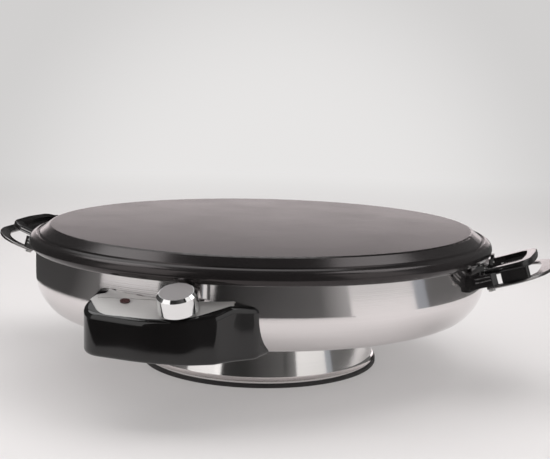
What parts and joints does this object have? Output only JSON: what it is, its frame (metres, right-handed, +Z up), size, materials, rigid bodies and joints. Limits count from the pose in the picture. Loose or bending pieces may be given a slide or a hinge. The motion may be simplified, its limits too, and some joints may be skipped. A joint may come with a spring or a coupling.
{
  "type": "electric crepe maker",
  "caption": "Electric crepe maker: lift-off dark crepe plate on a polished steel bowl and pedestal, front control housing with one knob, strap and loop handles.",
  "frame": {"origin": "on the bowl's axis at the level of the table", "axes": "+Z up, -Y towards the user and the control housing, X along the handles"},
  "size_m": [0.5278, 0.4486, 0.126],
  "materials": {
    "polished_steel": "polished stainless steel",
    "rubber": "matt",
    "plate_coating": "dark matt non-stick coating on the casting",
    "gloss_black": "high gloss",
    "satin_panel": "satin",
    "chrome": "mirror",
    "knob_grey": "satin grey",
    "lamp_dark": "dark translucent",
    "lamp_glass": "clear",
    "dark_plastic": "matt",
    "plain_steel": "zinc plated",
    "element_sheath": "dull, heat tinted",
    "aluminised": "bright",
    "ceramic": "unglazed",
    "copper_coloured": "plain",
    "sleeving": "glass-fibre sleeve",
    "handle_black": "gloss heat-proof moulding"
  },
  "bodies": {
    "base": {"bowl_shell": "polished_steel", "bracket_screws_left": "plain_steel", "bracket_screws_right": "plain_steel", "capillary_tube": "copper_coloured", "control_housing": "gloss_black", "control_panel": "satin_panel", "element_supports": "plain_steel", "foot_ring": "rubber", "grip_block_left": "handle_black", "grip_block_right": "handle_black", "handle_bracket_left": "handle_black", "handle_bracket_right": "handle_black", "handle_inlays_left": "chrome", "handle_inlays_right": "chrome", "handle_screws_left": "plain_steel", "handle_screws_right": "plain_steel", "handle_strap_left": "chrome", "handle_strap_right": "chrome", "heat_reflector": "aluminised", "heating_element": "element_sheath", "housing_cover": "gloss_black", "housing_cover_screws": "plain_steel", "housing_fixing_screws": "plain_steel", "inlet_body": "dark_plastic", "inlet_pins": "plain_steel", "lamp_body": "lamp_glass", "lamp_window": "lamp_dark", "pedestal": "polished_steel", "pedestal_nuts": "plain_steel", "pedestal_screws": "plain_steel", "reflector_clips": "plain_steel", "reflector_screws": "plain_steel", "sensor_bracket": "plain_steel", "sensor_bulb": "copper_coloured", "terminal_block": "ceramic", "terminal_bracket": "plain_steel", "thermostat_body": "dark_plastic", "thermostat_nut": "plain_steel", "wiring": "sleeving"},
    "plate": {"crepe_plate": "plate_coating", "plate_handle_left": "handle_black", "plate_handle_tabs_left": "chrome", "plate_handle_inlays_left": "chrome", "plate_handle_pins_left": "plain_steel", "plate_handle_right": "handle_black", "plate_handle_tabs_right": "chrome", "plate_handle_inlays_right": "chrome", "plate_handle_pins_right": "plain_steel"},
    "knob": {"knob": "chrome", "knob_cap": "knob_grey", "thermostat_shaft": "plain_steel"}
  },
  "joints": [
    {"name": "knob_turn", "type": "hinge", "parent": "base", "child": "knob", "pos_m": [0.0152, -0.2196, 0.08728], "axis": [0, -0.3173, 0.9483], "range_deg": [-270, 0]},
    {"name": "plate_lift", "type": "slide", "parent": "base", "child": "plate", "axis": [0, 0, 1], "range_m": [0, 0.2]}
  ]
}
